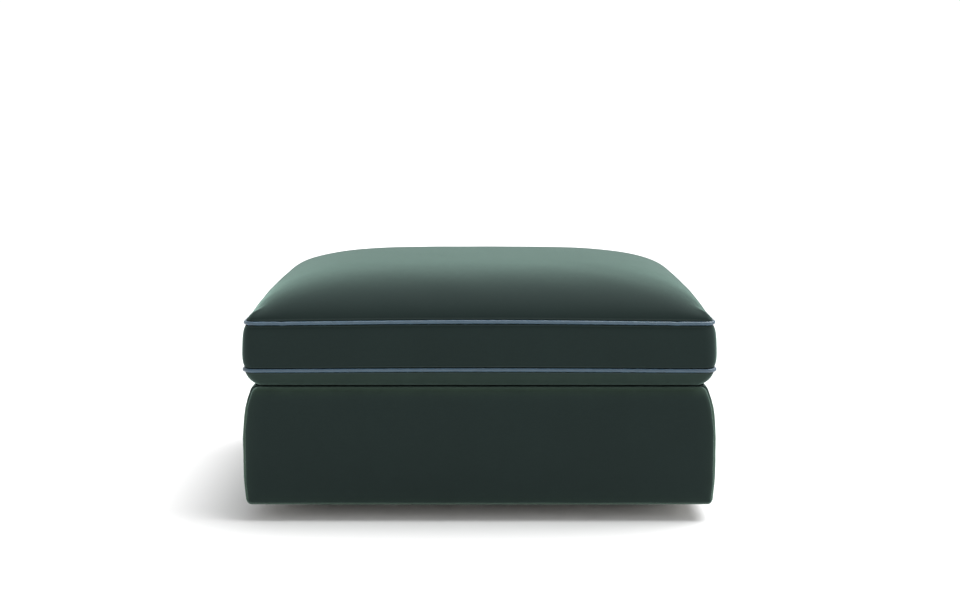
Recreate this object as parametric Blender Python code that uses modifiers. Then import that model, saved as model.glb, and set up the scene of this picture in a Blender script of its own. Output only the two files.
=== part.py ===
"""A wide, low upholstered footstool: a padded base with one loose, plump box cushion on it.

The cushion is one filled solid. Its crowned top panel, bulging boxing strip and rolled-under bottom
panel meet in two seams, and each seam holds a cord of piping. The base is a padded strip that runs up
one side, over the top and down the other side, closed by a padded panel at the front and at the back.
Four low feet stand well in from the edges.

Units are metres. +X is the right-hand side seen from the front, -Y is the front and +Z is up. The
origin is on the floor, under the middle of the stool.
"""

import math

import bmesh
import bpy

COLLECTION = "footstool"
GAP = 0.0003  # between pieces that touch

# Heights above the floor
BASE_BOTTOM = 0.031
BASE_TOP = 0.2717
CUSHION_BOTTOM = BASE_TOP + GAP
LOWER_SEAM = 0.308
UPPER_SEAM = 0.402
CROWN_TOP = 0.4954

# Cushion. Half sizes are to the middle of the piping
UPPER_HALF_X = 0.4652
UPPER_HALF_Y = 0.3952
SEAM_FLARE = 0.0036  # the lower seam lies this much further out than the upper one
SEAM_RADIUS = 0.022  # of the seams' corners, seen from above
UPPER_RISE = 0.0042  # the filling lifts the middle of each side's seams
LOWER_RISE = 0.0018
BOXING_BULGE = 0.0052
BOXING_FULLNESS = 3.5  # power of the bulge's section: higher is boxier
UNDER_STEEP = math.radians(84)  # slope of the bottom panel beside its seam
UNDER_FLAT = math.radians(25)  # and where it comes to rest on the base
UNDER_SHARPENING = 0.8  # how fast its corners tighten on the way in

# Crown of the top panel. It falls towards the side seams and rolls over beside them
CROWN_SIDE_FALL = 4.4
CROWN_SIDE_ROLL = 30.0
CROWN_SIDE_ROLL_SHARE = 0.42
CROWN_SIDE_ROOT = 1.06
CROWN_FRONT_POWER = 4.0
CROWN_FRONT_ROOT = 0.53
CORNER_PINCH = 0.29  # share of the crown that a sewn corner draws down
CORNER_PINCH_REACH = 0.056
EAR_HEIGHT = 0.0105  # of the fold that stands up at each sewn corner
EAR_LENGTH = 0.050
EAR_PEAK = 0.25  # where it is highest, as a share of its length
EAR_WIDTH = 0.0065

# Piping
PIPING_RADIUS = 0.004
PIPING_BEVEL_STEPS = 2
GROOVE_RADIUS = 0.0045
GROOVE_HALF_ARC = math.radians(80)  # from the groove's floor to each lip
TOP_ARC = math.radians(62)  # the top panel's edge lies further in over its cord

# Base. Half sizes are of its fullest outline
BASE_HALF_X = 0.4745
BASE_HALF_Y = 0.404
SHOULDER_LEAN = 0.0175  # the sides lean in by this much at the top
SHOULDER_START = 0.130  # height where they begin to
SHOULDER_POWER = 3.0
SHOULDER_RADIUS = 0.014
SHOULDER_FROM = math.radians(18)  # where the shoulder's arc takes over from the side
HEM_LEAN = 0.0048  # and by this much at the bottom
HEM_START = 0.090
HEM_POWER = 1.3
HEM_RADIUS = 0.012
SIDE_CROWN = 0.003  # the padding swells the middle of each side
FACE_CROWN = 0.004  # and of the front and back panels

# Seams between the base's strip and its front and back panels
SEAM_Y = 0.391
SEAM_SETBACK = 0.028  # at the top the seam runs back, under the cushion
SEAM_SETBACK_START = 0.225
WRAP_ROLL = 0.012
PANEL_SIDE_INSET = 0.0060
PANEL_TOP_INSET = 0.0010
PANEL_PINCH = 0.0020  # further drawn in at the seam, where the strip's ends meet it
WRAP_SIDE_INSET = PANEL_SIDE_INSET + PANEL_PINCH
WRAP_TOP_INSET = PANEL_TOP_INSET + PANEL_PINCH
PANEL_EDGE_SHARE = 0.3  # of the panel's thickness, before it rolls to its face
PANEL_SIDE_ROLL = 0.009
PANEL_TOP_ROLL = 0.020

# Feet
FOOT_HEIGHT = BASE_BOTTOM - GAP
FOOT_TOP_RADIUS = 0.030
FOOT_FLOOR_RADIUS = 0.026
FOOT_EDGE = 0.0015  # rounding of its rims
FOOT_EDGE_STEPS = 2
FOOT_SIDES = 32
FOOT_X = 0.330
FOOT_Y = 0.240

# Cells of the soft blocks, counted from the middle out
CUSHION_CELLS_X = 10
CUSHION_CELLS_Y = 9
CUSHION_CORNER_CELLS = 4
BOXING_CELLS = 6
GROOVE_CELLS = 4
UNDER_CELLS = 4
BASE_CELLS_X = 6
BASE_CELLS_Y = 3
BASE_CELLS_Z = 6
BASE_CORNER_CELLS = 3
WRAP_ROLL_CELLS = 3
PANEL_EDGE_CELLS = 2
PANEL_ROLL_CELLS = 4
INNER_SPACING = 1.5  # power that makes cells finer towards an edge
CORNER_SPACING = 1.6
SHARP_ANGLE = math.radians(40)

# Finishes: linear colour, roughness, metallic
VELVET = ((0.022, 0.034, 0.031), 0.85, 0.0)
PIPING_CLOTH = ((0.105, 0.160, 0.235), 0.70, 0.0)
FOOT_PLASTIC = ((0.015, 0.015, 0.015), 0.50, 0.0)


def clear_scene():
    for thing in list(bpy.data.objects):
        bpy.data.objects.remove(thing, do_unlink=True)


def new_collection(name):
    collection = bpy.data.collections.new(name)
    bpy.context.scene.collection.children.link(collection)
    return collection


def new_material(name, finish):
    colour, roughness, metallic = finish
    material = bpy.data.materials.new(name)
    material.use_nodes = True
    material.diffuse_color = (*colour, 1.0)
    shader = material.node_tree.nodes["Principled BSDF"]
    shader.inputs["Base Color"].default_value = (*colour, 1.0)
    shader.inputs["Roughness"].default_value = roughness
    shader.inputs["Metallic"].default_value = metallic
    return material


def add_piece(name, data, finish, frame):
    """Links mesh or curve data as a sub-part with a material of its own, under the stool's frame."""
    data.materials.append(new_material(name + "_finish", finish))
    piece = bpy.data.objects.new(name, data)
    piece.parent = frame
    frame.users_collection[0].objects.link(piece)
    return piece


def mix(start, end, share):
    return start + (end - start) * share


def smooth(share):
    share = min(max(share, 0.0), 1.0)
    return share * share * (3 - 2 * share)


def soft_block(name, cells, place, frame):
    """A closed soft form: a cube cut into cells, whose points go where place(i, j, k) says."""
    shape = bmesh.new()
    bmesh.ops.create_cube(shape, size=2.0)
    for axis, count in enumerate(cells):
        across = [e for e in shape.edges if abs(e.verts[0].co[axis] - e.verts[1].co[axis]) > 1.0]
        bmesh.ops.subdivide_edges(shape, edges=across, cuts=count - 1, use_grid_fill=True)
    for vertex in shape.verts:
        steps = [round((vertex.co[axis] + 1) / 2 * count) for axis, count in enumerate(cells)]
        vertex.co = place(*steps)
    # Both sides of a seam then have the same triangles.
    bmesh.ops.triangulate(shape, faces=shape.faces, quad_method="SHORT_EDGE")
    mesh = bpy.data.meshes.new(name)
    shape.to_mesh(mesh)
    shape.free()
    mesh.shade_smooth()
    mesh.set_sharp_from_angle(angle=SHARP_ANGLE)
    return add_piece(name, mesh, VELVET, frame)


def inner_share(step, cells):
    """How far out a line of cells lies, from 0 in the middle to 1 at the corner's centre."""
    return 1 - (1 - step / cells) ** INNER_SPACING


def corner_share(step, cells):
    """How far past the corner's centre a line of cells lies, from 0 to 1 at the edge."""
    return 1 - (1 - step / cells) ** CORNER_SPACING


def corner_turn(across, along):
    """Share of the corner's arc passed at a lattice point, from 0 on one side to 1 on the other."""
    return along / across / 2 if across >= along else 1 - across / along / 2


# ---- Cushion -----------------------------------------------------------------------------------


def plan_point(i, j, half_x, half_y, radius):
    """Where a line of cells (i, j), counted from the middle, lies in a round-cornered plan.

    Returns its place, and its place in the same plan with square corners.
    """
    across = max(abs(i) - CUSHION_CELLS_X, 0)
    along = max(abs(j) - CUSHION_CELLS_Y, 0)
    square_x = (half_x - radius) * inner_share(min(abs(i), CUSHION_CELLS_X), CUSHION_CELLS_X)
    square_y = (half_y - radius) * inner_share(min(abs(j), CUSHION_CELLS_Y), CUSHION_CELLS_Y)
    if across and along:
        reach = radius * corner_share(max(across, along), CUSHION_CORNER_CELLS)
        turn = math.pi / 2 * corner_turn(across, along)
        x = square_x + reach * math.cos(turn)
        y = square_y + reach * math.sin(turn)
    square_x += radius * corner_share(across, CUSHION_CORNER_CELLS)
    square_y += radius * corner_share(along, CUSHION_CORNER_CELLS)
    if not (across and along):
        x, y = square_x, square_y
    side_x = math.copysign(1.0, i)
    side_y = math.copysign(1.0, j)
    return (side_x * x, side_y * y), (side_x * square_x, side_y * square_y)


def lifted(u, v):
    """Share of a seam's lift: none near the corners, full in the middle of each side."""
    return (1 - min((u * v) ** 2, 1.0)) ** 2


def crown_share(u, v, corner_distance):
    """Share of the crown's height at a place on the top panel, where u and v run from 0 to 1."""
    fall = mix(u**CROWN_SIDE_FALL, u**CROWN_SIDE_ROLL, CROWN_SIDE_ROLL_SHARE)
    across = (1 - fall) ** CROWN_SIDE_ROOT
    along = (1 - v**CROWN_FRONT_POWER) ** CROWN_FRONT_ROOT
    pinch = CORNER_PINCH * math.exp(-((corner_distance / CORNER_PINCH_REACH) ** 2))
    return across * along * (1 - pinch)


def ear_height(inset_x, inset_y):
    """Height of the fold that runs in from each corner, with its crest on the diagonal."""
    share = min((inset_x + inset_y) / 2 / EAR_LENGTH, 1.0)
    fade = (1 - EAR_PEAK) / EAR_PEAK
    highest = EAR_PEAK * (1 - EAR_PEAK) ** fade
    aside = abs(inset_x - inset_y) / math.sqrt(2)
    return EAR_HEIGHT * share * (1 - share) ** fade / highest * math.exp(-aside / EAR_WIDTH)


def under_rings():
    """Rings of the bottom panel, from its flat part out to just under the lower seam."""
    deep = LOWER_SEAM - CUSHION_BOTTOM
    bend = deep / (math.cos(UNDER_FLAT) - math.cos(UNDER_STEEP))
    for step in range(UNDER_CELLS):
        slope = mix(UNDER_FLAT, UNDER_STEEP, step / UNDER_CELLS)
        inward = bend * (math.sin(UNDER_STEEP) - math.sin(slope))
        depth = bend * (math.cos(slope) - math.cos(UNDER_STEEP))
        radius = SEAM_RADIUS * (1 - UNDER_SHARPENING * inward / bend)
        yield SEAM_FLARE - inward, radius, LOWER_SEAM - depth, LOWER_RISE * (1 - depth / deep)


def groove_rings(offset, height, lift, upper_arc):
    """Rings of the round groove that a piping cord lies in, from lip to lip."""
    for step in range(GROOVE_CELLS + 1):
        angle = mix(-GROOVE_HALF_ARC, upper_arc, step / GROOVE_CELLS)
        inward = GROOVE_RADIUS * math.cos(angle)
        yield offset - inward, SEAM_RADIUS - inward, height + GROOVE_RADIUS * math.sin(angle), lift


def boxing_rings():
    """Rings of the boxing strip between the two seams' lips."""
    lip = GROOVE_RADIUS * math.sin(GROOVE_HALF_ARC)
    for step in range(1, BOXING_CELLS):
        share = step / BOXING_CELLS
        bulge = BOXING_BULGE * (1 - abs(2 * share - 1) ** BOXING_FULLNESS)
        height = mix(LOWER_SEAM + lip, UPPER_SEAM - lip, share)
        lift = mix(LOWER_RISE, UPPER_RISE, share)
        yield mix(SEAM_FLARE, 0.0, share) + bulge, SEAM_RADIUS + bulge, height, lift


def cushion_rings():
    """Each ring's offset from the upper seam's line, corner radius, height and lift in mid side."""
    return [
        *under_rings(),
        *groove_rings(SEAM_FLARE, LOWER_SEAM, LOWER_RISE, GROOVE_HALF_ARC),
        *boxing_rings(),
        *groove_rings(0.0, UPPER_SEAM, UPPER_RISE, TOP_ARC),
    ]


def add_cushion(frame):
    rings = cushion_rings()
    reach_x = CUSHION_CELLS_X + CUSHION_CORNER_CELLS
    reach_y = CUSHION_CELLS_Y + CUSHION_CORNER_CELLS
    top = len(rings) - 1
    crown = CROWN_TOP - UPPER_SEAM - GROOVE_RADIUS * math.sin(TOP_ARC) - UPPER_RISE

    def place(i, j, k):
        offset, radius, height, lift = rings[k]
        half_x = UPPER_HALF_X + offset
        half_y = UPPER_HALF_Y + offset
        (x, y), (square_x, square_y) = plan_point(i - reach_x, j - reach_y, half_x, half_y, radius)
        u = min(abs(square_x) / half_x, 1.0)
        v = min(abs(square_y) / half_y, 1.0)
        z = height + lift * lifted(u, v)
        if k == top:
            inset_x = half_x * (1 - u)
            inset_y = half_y * (1 - v)
            z += crown * crown_share(u, v, math.hypot(inset_x, inset_y))
            z += ear_height(inset_x, inset_y)
        return x, y, z

    return soft_block("cushion", (2 * reach_x, 2 * reach_y, top), place, frame)


def seam_steps(inner_cells):
    """Lines of cells along one side that a seam's path uses: all at the corners, else every second."""
    reach = inner_cells + CUSHION_CORNER_CELLS
    return [i for i in range(-reach, reach + 1) if abs(i) >= inner_cells or i % 2 == 0]


def seam_path(offset, height, lift):
    """Points along the middle of a seam's piping, once round the cushion."""
    steps_x = seam_steps(CUSHION_CELLS_X)
    steps_y = seam_steps(CUSHION_CELLS_Y)
    loop = [(i, steps_y[0]) for i in steps_x]
    loop += [(steps_x[-1], j) for j in steps_y[1:]]
    loop += [(i, steps_y[-1]) for i in reversed(steps_x[:-1])]
    loop += [(steps_x[0], j) for j in reversed(steps_y[1:-1])]
    half_x = UPPER_HALF_X + offset
    half_y = UPPER_HALF_Y + offset
    points = []
    for i, j in loop:
        (x, y), (square_x, square_y) = plan_point(i, j, half_x, half_y, SEAM_RADIUS)
        points.append((x, y, height + lift * lifted(square_x / half_x, square_y / half_y)))
    return points


def add_piping(name, points, frame):
    curve = bpy.data.curves.new(name, "CURVE")
    curve.dimensions = "3D"
    curve.bevel_depth = PIPING_RADIUS
    curve.bevel_resolution = PIPING_BEVEL_STEPS
    spline = curve.splines.new("POLY")
    spline.points.add(len(points) - 1)
    for target, point in zip(spline.points, points):
        target.co = (*point, 1.0)
    spline.use_cyclic_u = True
    spline.use_smooth = True
    return add_piece(name, curve, PIPING_CLOTH, frame)


# ---- Base --------------------------------------------------------------------------------------


def side_profile(height):
    """Half width of the base's padded side at a height."""
    shoulder = max((height - SHOULDER_START) / (BASE_TOP - SHOULDER_START), 0.0)
    hem = max((HEM_START - height) / (HEM_START - BASE_BOTTOM), 0.0)
    return BASE_HALF_X - SHOULDER_LEAN * shoulder**SHOULDER_POWER - HEM_LEAN * hem**HEM_POWER


def section_point(i, k, side_inset, top_inset):
    """x and z of a line of cells in the base's section, drawn in by the insets.

    i counts from the middle and k from the bottom. The corners' arcs tighten as they are drawn in,
    and never close up.
    """
    across = max(abs(i) - BASE_CELLS_X, 0)
    inner = inner_share(min(abs(i), BASE_CELLS_X), BASE_CELLS_X)
    below = BASE_CORNER_CELLS - k
    above = k - BASE_CORNER_CELLS - BASE_CELLS_Z
    hem_radius = HEM_RADIUS / (1 + side_inset / HEM_RADIUS)
    low_z = BASE_BOTTOM + side_inset + hem_radius
    low_x = side_profile(low_z) - side_inset - hem_radius
    radius = SHOULDER_RADIUS / (1 + top_inset / SHOULDER_RADIUS)
    high_z = BASE_TOP - top_inset - radius
    start_z = high_z + radius * math.sin(SHOULDER_FROM)
    high_x = side_profile(start_z) - side_inset - radius * math.cos(SHOULDER_FROM)
    if below > 0:
        turn = math.pi / 2 * corner_turn(across, below)
        reach = hem_radius * corner_share(max(across, below), BASE_CORNER_CELLS)
        x = low_x * inner + (reach * math.cos(turn) if across else 0.0)
        z = low_z - reach * math.sin(turn)
    elif above > 0:
        turn = mix(SHOULDER_FROM, math.pi / 2, corner_turn(across, above))
        reach = radius * corner_share(max(across, above), BASE_CORNER_CELLS)
        x = high_x * inner + (reach * math.cos(turn) if across else 0.0)
        z = high_z + reach * math.sin(turn)
    else:
        up = (k - BASE_CORNER_CELLS) / BASE_CELLS_Z
        edge_z = mix(low_z, start_z, up)
        out = corner_share(across, BASE_CORNER_CELLS)
        x = mix(mix(low_x, high_x, up) * inner, side_profile(edge_z) - side_inset, out)
        z = mix(mix(low_z, high_z, up), edge_z, out)
    return math.copysign(x, i), z


def seam_y(k, top_inset):
    """How far out the seam between the strip and a panel lies, along the k-th line of cells."""
    _, height = section_point(0, k, 0.0, top_inset)
    back = smooth((height - SEAM_SETBACK_START) / (BASE_TOP - SEAM_SETBACK_START))
    return SEAM_Y - SEAM_SETBACK * back


def base_height_share(height):
    """0 half way up the base, -1 at its bottom and 1 at its top."""
    return (2 * height - BASE_TOP - BASE_BOTTOM) / (BASE_TOP - BASE_BOTTOM)


def base_cells(cells_y):
    reach_x = BASE_CELLS_X + BASE_CORNER_CELLS
    return 2 * reach_x, cells_y, BASE_CELLS_Z + 2 * BASE_CORNER_CELLS


def add_base_wrap(frame):
    """The strip up one side, over the top and down the other, with the base's filling."""
    reach_x = BASE_CELLS_X + BASE_CORNER_CELLS
    reach_y = BASE_CELLS_Y + WRAP_ROLL_CELLS

    def place(i, j, k):
        step = abs(j - reach_y)
        angle = math.pi / 2 * max(step - BASE_CELLS_Y, 0) / WRAP_ROLL_CELLS
        roll = 1 - math.cos(angle)
        x, z = section_point(i - reach_x, k, WRAP_SIDE_INSET * roll, WRAP_TOP_INSET * roll)
        straight = seam_y(k, WRAP_TOP_INSET) - WRAP_ROLL
        y = straight * min(step / BASE_CELLS_Y, 1.0) + WRAP_ROLL * math.sin(angle)
        fullness = (1 - (y / SEAM_Y) ** 2) * (1 - base_height_share(z) ** 2)
        x *= 1 + SIDE_CROWN / BASE_HALF_X * fullness
        return x, math.copysign(y, j - reach_y), z

    return soft_block("base_wrap", base_cells(2 * reach_y), place, frame)


def add_base_panel(name, facing, frame):
    """The padded panel that closes one end of the strip. facing is -1 at the front and 1 at the back."""
    reach_x = BASE_CELLS_X + BASE_CORNER_CELLS
    cells_out = PANEL_EDGE_CELLS + PANEL_ROLL_CELLS

    def place(i, j, k):
        step = j if facing > 0 else cells_out - j
        edge = min(step / PANEL_EDGE_CELLS, 1.0)
        angle = math.pi / 2 * max(step - PANEL_EDGE_CELLS, 0) / PANEL_ROLL_CELLS
        pinch = PANEL_PINCH * (1 - edge) ** 2
        roll = 1 - math.cos(angle)
        side_inset = PANEL_SIDE_INSET + pinch + PANEL_SIDE_ROLL * roll
        top_inset = PANEL_TOP_INSET + pinch + PANEL_TOP_ROLL * roll
        x, z = section_point(i - reach_x, k, side_inset, top_inset)
        out = PANEL_EDGE_SHARE * edge + (1 - PANEL_EDGE_SHARE) * math.sin(angle)
        crown = (1 - (x / BASE_HALF_X) ** 2) * (1 - base_height_share(z) ** 2)
        face = BASE_HALF_Y - FACE_CROWN * (1 - crown)
        return x, facing * mix(seam_y(k, WRAP_TOP_INSET) + GAP, face, out), z

    return soft_block(name, base_cells(cells_out), place, frame)


def add_foot(name, x, y, frame):
    shape = bmesh.new()
    bmesh.ops.create_cone(
        shape,
        cap_ends=True,
        segments=FOOT_SIDES,
        radius1=FOOT_FLOOR_RADIUS,
        radius2=FOOT_TOP_RADIUS,
        depth=FOOT_HEIGHT,
    )
    mesh = bpy.data.meshes.new(name)
    shape.to_mesh(mesh)
    shape.free()
    mesh.shade_smooth()
    mesh.set_sharp_from_angle(angle=SHARP_ANGLE)
    foot = add_piece(name, mesh, FOOT_PLASTIC, frame)
    foot.location = (x, y, FOOT_HEIGHT / 2)
    rounded = foot.modifiers.new("rounded_rim", "BEVEL")
    rounded.width = FOOT_EDGE
    rounded.segments = FOOT_EDGE_STEPS
    rounded.limit_method = "ANGLE"
    rounded.angle_limit = SHARP_ANGLE
    return foot


def main():
    clear_scene()
    frame = bpy.data.objects.new("stool_frame", None)
    new_collection(COLLECTION).objects.link(frame)
    add_cushion(frame)
    add_piping("piping_lower", seam_path(SEAM_FLARE, LOWER_SEAM, LOWER_RISE), frame)
    add_piping("piping_upper", seam_path(0.0, UPPER_SEAM, UPPER_RISE), frame)
    add_base_wrap(frame)
    add_base_panel("base_front_panel", -1, frame)
    add_base_panel("base_back_panel", 1, frame)
    for end, facing in (("front", -1), ("back", 1)):
        add_foot(f"foot_{end}_left", -FOOT_X, facing * FOOT_Y, frame)
        add_foot(f"foot_{end}_right", FOOT_X, facing * FOOT_Y, frame)


main()
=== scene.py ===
"""An upholstered footstool: a padded velvet base and one loose, crowned box cushion edged with piping.

Lengths are in metres in the part's own frame: +X to the right seen from the front, -Y to the front, +Z
up and the floor at z = 0. Each soft piece takes its place and outer size from the solid it stands for.
"""

import logging
import math
from dataclasses import dataclass
from enum import Enum
from typing import Any

import bpy
import numpy as np
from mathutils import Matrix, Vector


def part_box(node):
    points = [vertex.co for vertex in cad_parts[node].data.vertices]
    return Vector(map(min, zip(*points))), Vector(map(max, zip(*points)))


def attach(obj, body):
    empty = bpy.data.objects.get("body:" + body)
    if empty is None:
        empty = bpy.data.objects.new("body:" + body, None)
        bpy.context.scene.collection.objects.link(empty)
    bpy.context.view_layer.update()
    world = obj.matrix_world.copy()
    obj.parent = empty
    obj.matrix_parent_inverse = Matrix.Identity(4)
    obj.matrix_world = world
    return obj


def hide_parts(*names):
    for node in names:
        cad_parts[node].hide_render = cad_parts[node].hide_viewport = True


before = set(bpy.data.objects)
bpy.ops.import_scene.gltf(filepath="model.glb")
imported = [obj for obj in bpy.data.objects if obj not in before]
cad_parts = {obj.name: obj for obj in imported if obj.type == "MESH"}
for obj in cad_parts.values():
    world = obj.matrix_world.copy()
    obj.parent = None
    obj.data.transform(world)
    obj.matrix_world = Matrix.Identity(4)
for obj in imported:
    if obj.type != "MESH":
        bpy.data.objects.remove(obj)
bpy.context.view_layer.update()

TAU = 2 * math.pi
QUARTER = math.pi / 2
WAVE_RANGE = (0.65, 1.5)  # shortest and longest wave in an uneven field, for a usual one of 1
Array = np.ndarray
Amount = float | Array
Colour = tuple[float, float, float]
Stretch = tuple[float, float, float]
Ring = tuple[float, float, float, float]  # offset, corner radius, height and lift of a ring of cells

# What the points of the meshes keep for the finishes
CORD_PLACE = "cord_place"  # distance along the cord and round it
CLOTH_PLACE = "cloth_place"  # shares of painted highlight, of painted shade and of lining cloth

log = logging.getLogger("footstool")


# ---- Words and small sums ------------------------------------------------------------------------


class Seam(Enum):
    """The two seams that run round the cushion."""

    UPPER = "upper"
    LOWER = "lower"


class End(Enum):
    """The two ends of the base that a sewn-in panel closes, with the way each one faces along Y."""

    FRONT = -1
    BACK = 1


def mix(start: Amount, end: Amount, share: Amount) -> Amount:
    """Blends from start to end by a share from 0 to 1."""
    return start + (end - start) * share


def smooth(share: Array) -> Array:
    """Eases a share in and out, and holds it between 0 and 1."""
    held = np.clip(share, 0.0, 1.0)
    return held * held * (3 - 2 * held)


def finer_outward(step: Array, cells: int, power: float) -> Array:
    """Share from 0 to 1 reached after a number of cells, which get finer on their way out."""
    return 1 - (1 - np.minimum(step / cells, 1.0)) ** power


def corner_turn(across: Array, along: Array) -> Array:
    """Share of a corner's arc that is passed at points of a lattice.

    Args:
        across: lines of cells past the arc's start, on one side of the corner.
        along: lines of cells past it on the other side.

    Returns:
        Shares from 0 on the first side to 1 on the second.
    """
    most = np.maximum(np.maximum(across, along), 1)
    least = np.minimum(across, along) / most / 2
    return np.where(across >= along, least, 1 - least)


def soft_waves(places: Array, size: float, seed: int, count: int = 7) -> Array:
    """A smooth, uneven field made of a few crossing waves.

    Args:
        places: points or lengths, one row each.
        size: usual length of a wave.
        seed: which field of this size it is.
        count: how many waves are added.

    Returns:
        One value a row, mostly between -1 and 1.
    """
    draw = np.random.default_rng(seed)
    rows = places.reshape(len(places), -1)
    ways = draw.normal(size=(count, rows.shape[1]))
    ways /= np.linalg.norm(ways, axis=1, keepdims=True)
    lengths = size * draw.uniform(*WAVE_RANGE, count)
    starts = draw.uniform(0, TAU, count)
    return np.sin(rows @ (ways.T * TAU / lengths) + starts).sum(axis=1) / math.sqrt(count)


# ---- Finishes ------------------------------------------------------------------------------------


class Signal:
    """A value in a material's graph. Sums written with it add the Math nodes that work them out."""

    def __init__(self, graph: "Graph", socket: bpy.types.NodeSocket) -> None:
        """Wraps one output socket of a graph."""
        self.graph = graph
        self.socket = socket

    def _sum(self, operation: str, first: "Signal | float", second: "Signal | float") -> "Signal":
        """Adds one Math node and wraps what it gives."""
        node = self.graph.add("ShaderNodeMath", {"operation": operation}, {0: first, 1: second})
        return Signal(self.graph, node.outputs[0])

    def __add__(self, other: "Signal | float") -> "Signal":
        """This value plus another."""
        return self._sum("ADD", self, other)

    def __radd__(self, other: float) -> "Signal":
        """A number plus this value."""
        return self._sum("ADD", other, self)

    def __sub__(self, other: "Signal | float") -> "Signal":
        """This value less another."""
        return self._sum("SUBTRACT", self, other)

    def __rsub__(self, other: float) -> "Signal":
        """A number less this value."""
        return self._sum("SUBTRACT", other, self)

    def __mul__(self, other: "Signal | float") -> "Signal":
        """This value times another."""
        return self._sum("MULTIPLY", self, other)

    def __rmul__(self, other: float) -> "Signal":
        """A number times this value."""
        return self._sum("MULTIPLY", other, self)

    def wave(self) -> "Signal":
        """The sine of this value, moved to run from 0 to 1."""
        node = self.graph.add("ShaderNodeMath", {"operation": "SINE"}, {0: self})
        return Signal(self.graph, node.outputs[0]) * 0.5 + 0.5


class Graph:
    """The node graph of one material, built up round its Principled shader."""

    def __init__(self, name: str) -> None:
        """Starts a material with a plain shader.

        Args:
            name: the material's name.
        """
        self.material = bpy.data.materials.new(name)
        self.material.use_nodes = True
        self.tree = self.material.node_tree
        self.shader = self.tree.nodes["Principled BSDF"]
        self.output = self.tree.nodes["Material Output"]

    def feed(self, socket: bpy.types.NodeSocket, value: Any) -> None:
        """Links a signal or a socket to an input, or sets a plain value on it.

        Args:
            socket: the input.
            value: what it gets.
        """
        source = value.socket if isinstance(value, Signal) else value
        if isinstance(source, bpy.types.NodeSocket):
            self.tree.links.new(source, socket)
        else:
            socket.default_value = source

    def add(self, kind: str, settings: dict[str, Any], inputs: dict[str | int, Any]) -> bpy.types.Node:
        """Adds a node of any kind.

        Args:
            kind: the node's type.
            settings: its own settings, set first.
            inputs: values or links of its sockets, by name or by number.

        Returns:
            The node.
        """
        node = self.tree.nodes.new(kind)
        for name, value in settings.items():
            setattr(node, name, value)
        for name, value in inputs.items():
            self.feed(node.inputs[name], value)
        return node

    def finish(self, inputs: dict[str, Any]) -> bpy.types.Material:
        """Sets the Principled shader's sockets.

        Args:
            inputs: values or links of the sockets, by name.

        Returns:
            The finished material.
        """
        for name, value in inputs.items():
            self.feed(self.shader.inputs[name], value)
        return self.material

    def lay_over(self, inputs: dict[str, Any], share: Signal) -> None:
        """Lays a second finish over the first.

        Args:
            inputs: values or links of the second finish's sockets, by name.
            share: how much of it shows, from 0 to 1.
        """
        upper = self.add("ShaderNodeBsdfPrincipled", {}, inputs)
        layers = {0: share, 1: self.shader.outputs[0], 2: upper.outputs[0]}
        both = self.add("ShaderNodeMixShader", {}, layers)
        self.feed(self.output.inputs["Surface"], both.outputs[0])

    def edge_on(self, start: float, most: float) -> Signal:
        """How nearly edge on the surface is seen.

        Args:
            start: where the share begins to grow, from 0 straight on to 1 edge on.
            most: what it grows to.

        Returns:
            The share as a signal.
        """
        facing = self.add("ShaderNodeLayerWeight", {}, {"Blend": 0.5}).outputs["Facing"]
        eased = {"Value": facing, "From Min": start, "To Max": most}
        node = self.add("ShaderNodeMapRange", {"interpolation_type": "SMOOTHSTEP"}, eased)
        return Signal(self, node.outputs[0])

    def grain(self, size: float, stretch: Stretch = (1, 1, 1), detail: float = 2.0) -> Signal:
        """Cloudy noise from 0 to 1 over the surface.

        Args:
            size: size of one cloud.
            stretch: how many times longer it is along each axis.
            detail: how much finer noise lies on it.

        Returns:
            The noise as a signal.
        """
        place = self.add("ShaderNodeTexCoord", {}, {}).outputs["Object"]
        scale = tuple(1 / length for length in stretch)
        mapped = self.add("ShaderNodeMapping", {}, {"Vector": place, "Scale": scale})
        node = self.add(
            "ShaderNodeTexNoise",
            {},
            {"Vector": mapped.outputs[0], "Scale": 1 / size, "Detail": detail, "Roughness": 0.55},
        )
        return Signal(self, node.outputs[0])

    def blend(
        self, low: Colour | bpy.types.NodeSocket, high: Colour, share: Signal
    ) -> bpy.types.NodeSocket:
        """Mixes two colours.

        Args:
            low: the first one, as numbers or as the graph has worked it out.
            high: the second one.
            share: how much of the second there is, from 0 to 1.

        Returns:
            The mixed colour's socket.
        """
        start = (*low, 1.0) if isinstance(low, tuple) else low
        node = self.add("ShaderNodeMix", {"data_type": "RGBA"}, {0: share, 6: start, 7: (*high, 1.0)})
        return node.outputs[2]

    def painted(self, name: str) -> list[Signal]:
        """Reads what a mesh's points keep.

        Args:
            name: what it is kept under.

        Returns:
            Its three values as signals.
        """
        kept = self.add("ShaderNodeAttribute", {"attribute_name": name}, {})
        parts = self.add("ShaderNodeSeparateXYZ", {}, {0: kept.outputs["Vector"]})
        return [Signal(self, part) for part in parts.outputs]

    def relief(self, height: Signal, depth: float) -> bpy.types.NodeSocket:
        """Turns a height signal into a bumped normal, where depth is the full height."""
        node = self.add("ShaderNodeBump", {}, {"Height": height, "Distance": depth, "Strength": 1.0})
        return node.outputs[0]


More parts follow.
